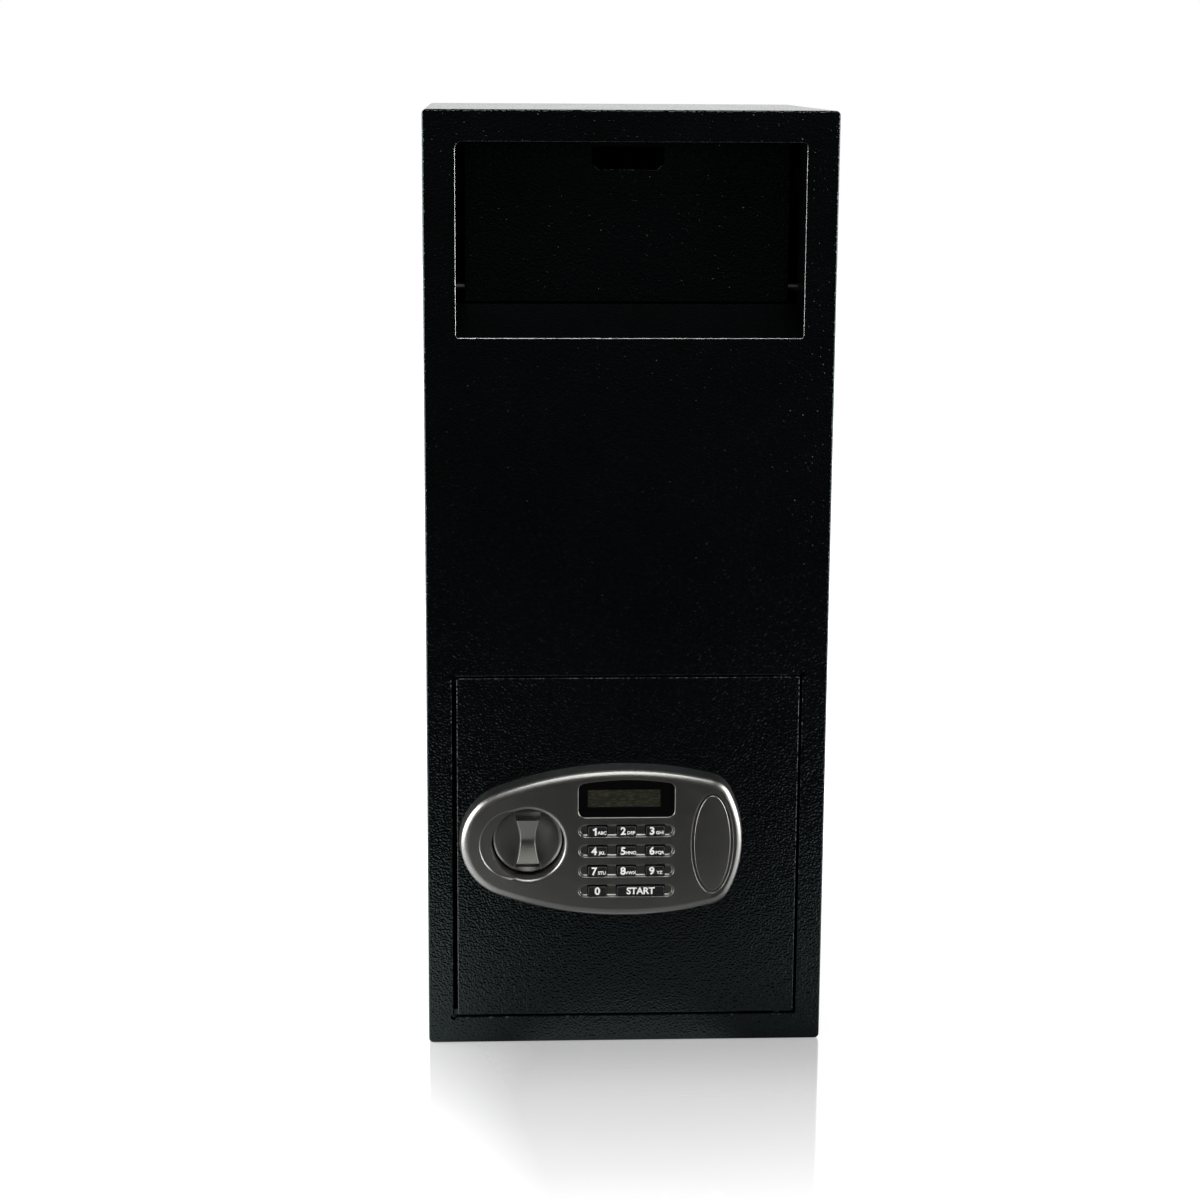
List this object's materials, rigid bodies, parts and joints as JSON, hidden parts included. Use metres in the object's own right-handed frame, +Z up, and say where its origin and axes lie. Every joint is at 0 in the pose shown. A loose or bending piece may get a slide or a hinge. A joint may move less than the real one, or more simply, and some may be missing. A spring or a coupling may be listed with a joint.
{
  "type": "deposit safe",
  "caption": "Tall black steel deposit safe with a tilting front hopper at the top and a hinged lower door that carries an electronic keypad lock and a turning knob.",
  "frame": {"origin": "centre of the cabinet's footprint, on the underside of the base", "axes": "+Z up along the cabinet's height, +X to the right seen from the front, -Y out of the front"},
  "size_m": [0.35, 0.371, 0.82],
  "materials": {
    "cabinet_paint": "black powder coat with a fine hammer texture, semi-gloss",
    "zinc_plate": "zinc plated, satin",
    "steel": "bright turned steel",
    "panel_grey": "satin metallic silver-grey",
    "knob_grey": "satin metallic dark grey",
    "key_black": "satin black with white legends",
    "rubber": "matte black",
    "window_black": "gloss black",
    "display_glass": "dark olive display glass on a black card",
    "circuit_board": "green solder mask",
    "brass": "turned brass",
    "black_plastic": "moulded black plastic",
    "cell_wrap": "plain printed cell wrap",
    "red_plastic": "glossy red"
  },
  "bodies": {
    "cabinet": {"body_shell": "cabinet_paint", "back_panel": "cabinet_paint", "front_frame": "cabinet_paint", "door_jamb": "cabinet_paint", "hinge_bracket_top": "zinc_plate", "hinge_bracket_bottom": "zinc_plate", "hopper_cheek_left": "cabinet_paint", "hopper_cheek_right": "cabinet_paint", "hopper_sill": "cabinet_paint"},
    "hopper": {"hopper_flap": "cabinet_paint", "hopper_baffle": "cabinet_paint", "hopper_shaft": "steel", "shaft_clip": "zinc_plate"},
    "door": {"door_panel": "cabinet_paint", "hinge_lug_top": "zinc_plate", "hinge_lug_bottom": "zinc_plate", "bolt_guide": "zinc_plate", "bar_stud_upper": "steel", "bar_stud_lower": "steel", "lock_cover": "cabinet_paint", "cover_screw_bottom": "steel", "cover_screw_top": "steel", "solenoid_body": "black_plastic", "battery_box": "black_plastic", "battery_1": "cell_wrap", "battery_2": "cell_wrap", "battery_3": "cell_wrap", "battery_4": "cell_wrap", "control_board": "circuit_board", "lock_cable": "rubber", "lock_faceplate": "panel_grey", "display_window": "window_black", "lcd_module": "display_glass", "keypad_board": "circuit_board", "keypad_mat": "rubber", "override_lock": "brass"},
    "bolts": {"bolt_bar": "zinc_plate", "bolt_upper": "steel", "bolt_lower": "steel"},
    "knob": {"knob": "knob_grey", "knob_spindle": "steel", "knob_cam": "zinc_plate"},
    "plunger": {"solenoid_plunger": "steel"},
    "reset": {"reset_button": "red_plastic"},
    "battery_lid": {"battery_cover": "black_plastic"},
    "override_lid": {"override_cover": "panel_grey"},
    "override": {"override_plug": "brass", "override_cam": "zinc_plate"},
    "key_1": {"key_1": "key_black"},
    "key_2": {"key_2": "key_black"},
    "key_3": {"key_3": "key_black"},
    "key_4": {"key_4": "key_black"},
    "key_5": {"key_5": "key_black"},
    "key_6": {"key_6": "key_black"},
    "key_7": {"key_7": "key_black"},
    "key_8": {"key_8": "key_black"},
    "key_9": {"key_9": "key_black"},
    "key_0": {"key_0": "key_black"},
    "key_start": {"key_start": "key_black"}
  },
  "joints": [
    {"name": "door_hinge", "type": "hinge", "parent": "cabinet", "child": "door", "pos_m": [0.1368, -0.1678, 0.18], "axis": [0, 0, 1], "range_deg": [0, 105]},
    {"name": "flap_tilt", "type": "hinge", "parent": "cabinet", "child": "hopper", "pos_m": [0, -0.113, 0.6675], "axis": [1, 0, 0], "range_deg": [0, 70]},
    {"name": "bolt_slide", "type": "slide", "parent": "door", "child": "bolts", "axis": [-1, 0, 0], "range_m": [0, 0.015]},
    {"name": "knob_turn", "type": "hinge", "parent": "door", "child": "knob", "pos_m": [-0.087, -0.165, 0.1895], "axis": [0, -1, 0], "range_deg": [0, 90]},
    {"name": "plunger_lift", "type": "slide", "parent": "door", "child": "plunger", "axis": [0, 0, 1], "range_m": [0, 0.002]},
    {"name": "reset_press", "type": "slide", "parent": "door", "child": "reset", "axis": [0, -1, 0], "range_m": [0, 0.001], "stiffness_N_per_m": 300},
    {"name": "battery_cover_slide", "type": "slide", "parent": "door", "child": "battery_lid", "axis": [1, 0, 0], "range_m": [0, 0.06]},
    {"name": "override_cover_pull", "type": "slide", "parent": "door", "child": "override_lid", "axis": [0, -1, 0], "range_m": [0, 0.015]},
    {"name": "override_turn", "type": "hinge", "parent": "door", "child": "override", "pos_m": [0.0744, -0.165, 0.1895], "axis": [0, 1, 0], "range_deg": [0, 90]},
    {"name": "key_1_press", "type": "slide", "parent": "door", "child": "key_1", "axis": [0, 1, 0], "range_m": [0, 0.0012], "stiffness_N_per_m": 300},
    {"name": "key_2_press", "type": "slide", "parent": "door", "child": "key_2", "axis": [0, 1, 0], "range_m": [0, 0.0012], "stiffness_N_per_m": 300},
    {"name": "key_3_press", "type": "slide", "parent": "door", "child": "key_3", "axis": [0, 1, 0], "range_m": [0, 0.0012], "stiffness_N_per_m": 300},
    {"name": "key_4_press", "type": "slide", "parent": "door", "child": "key_4", "axis": [0, 1, 0], "range_m": [0, 0.0012], "stiffness_N_per_m": 300},
    {"name": "key_5_press", "type": "slide", "parent": "door", "child": "key_5", "axis": [0, 1, 0], "range_m": [0, 0.0012], "stiffness_N_per_m": 300},
    {"name": "key_6_press", "type": "slide", "parent": "door", "child": "key_6", "axis": [0, 1, 0], "range_m": [0, 0.0012], "stiffness_N_per_m": 300},
    {"name": "key_7_press", "type": "slide", "parent": "door", "child": "key_7", "axis": [0, 1, 0], "range_m": [0, 0.0012], "stiffness_N_per_m": 300},
    {"name": "key_8_press", "type": "slide", "parent": "door", "child": "key_8", "axis": [0, 1, 0], "range_m": [0, 0.0012], "stiffness_N_per_m": 300},
    {"name": "key_9_press", "type": "slide", "parent": "door", "child": "key_9", "axis": [0, 1, 0], "range_m": [0, 0.0012], "stiffness_N_per_m": 300},
    {"name": "key_0_press", "type": "slide", "parent": "door", "child": "key_0", "axis": [0, 1, 0], "range_m": [0, 0.0012], "stiffness_N_per_m": 300},
    {"name": "key_start_press", "type": "slide", "parent": "door", "child": "key_start", "axis": [0, 1, 0], "range_m": [0, 0.0012], "stiffness_N_per_m": 300}
  ],
  "couplings": [
    {"joint": "knob_turn", "follows": "bolt_slide", "rad_per_m": 104.72}
  ]
}
